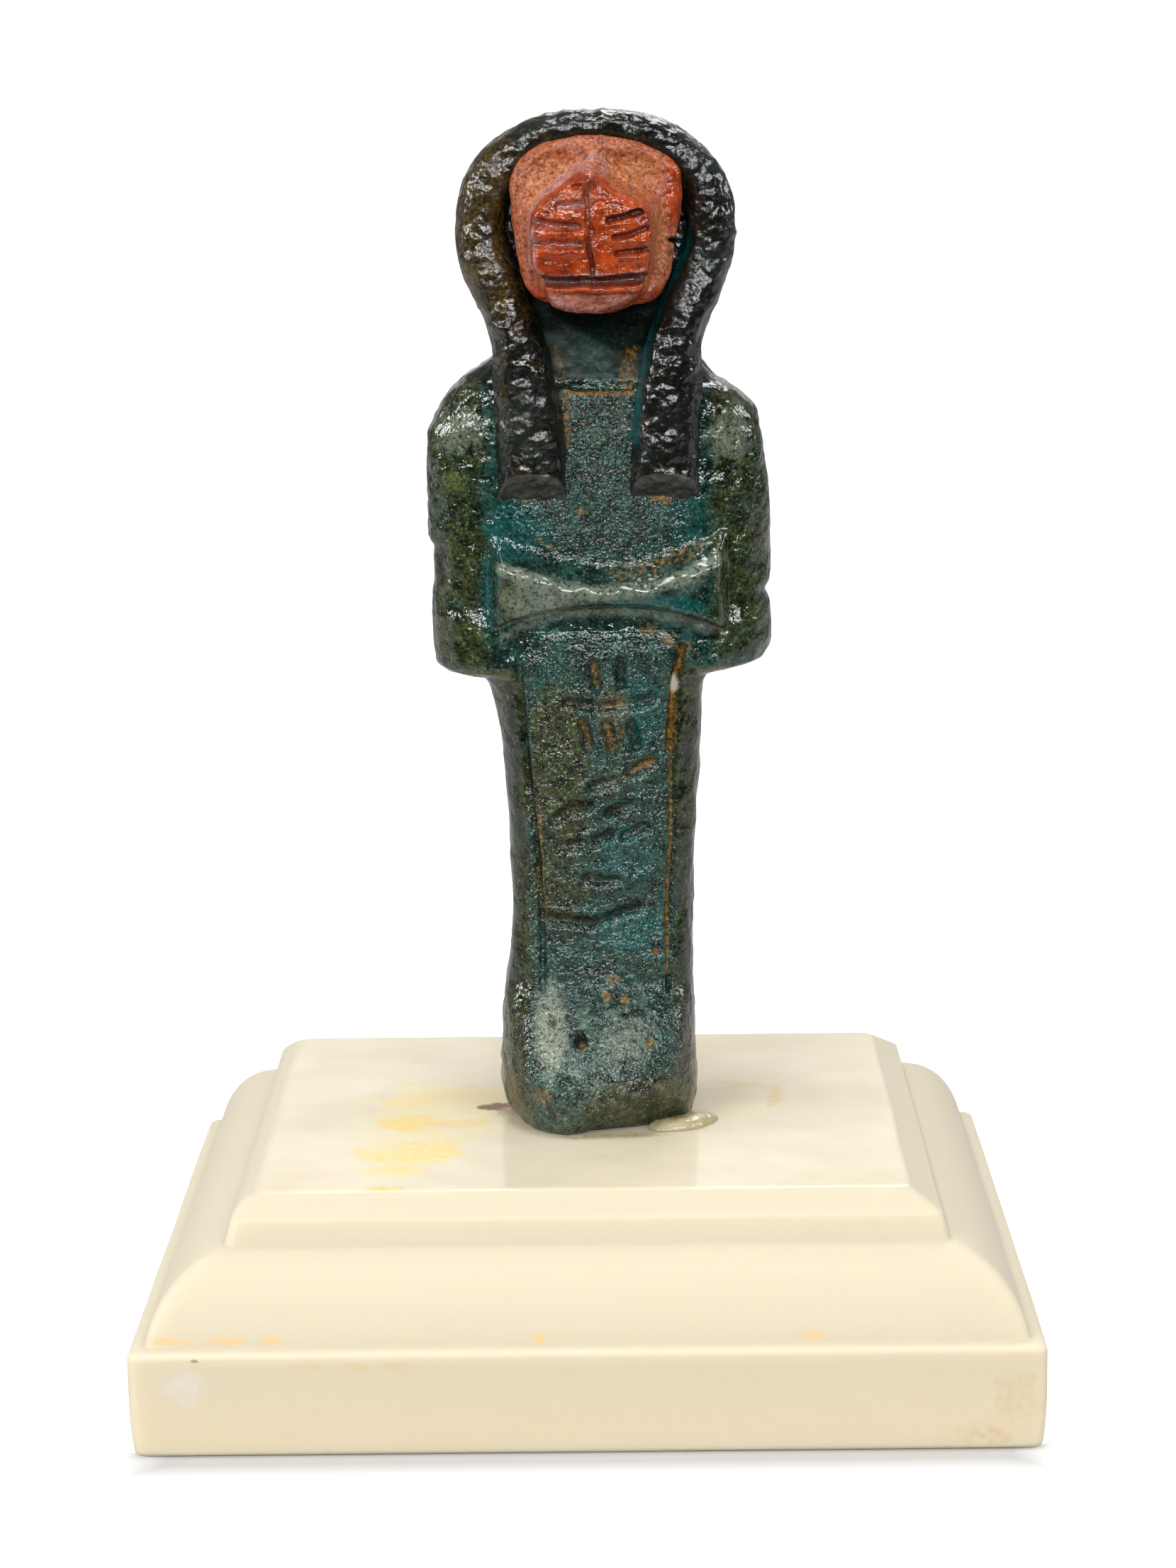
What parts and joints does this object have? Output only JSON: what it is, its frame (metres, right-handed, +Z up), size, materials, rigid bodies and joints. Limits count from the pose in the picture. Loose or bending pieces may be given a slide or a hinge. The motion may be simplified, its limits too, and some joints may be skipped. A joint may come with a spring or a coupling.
{
  "type": "lioness-headed mummiform figurine on plinth",
  "caption": "Small standing mummiform figurine with folded arms, a dark wig and a red lioness's head, pressed from glassy paste and stuck on a square two-tier cream plinth.",
  "frame": {"origin": "centre of the plinth's underside", "axes": "+Z up the figure, the figure faces -Y, +X to its viewer's right"},
  "size_m": [0.05, 0.05, 0.0718],
  "materials": {
    "plinth": "polished ivory-like cream, soft gloss",
    "body": "granular blue-green glassy paste",
    "wig": "glossy near-black glassy paste",
    "head": "opaque sealing-wax red paste, worn",
    "adhesive": "hardened translucent adhesive"
  },
  "bodies": {
    "root": {"plinth": "plinth", "body": "body", "wig": "wig", "head": "head", "adhesive_bead": "adhesive"}
  },
  "joints": []
}
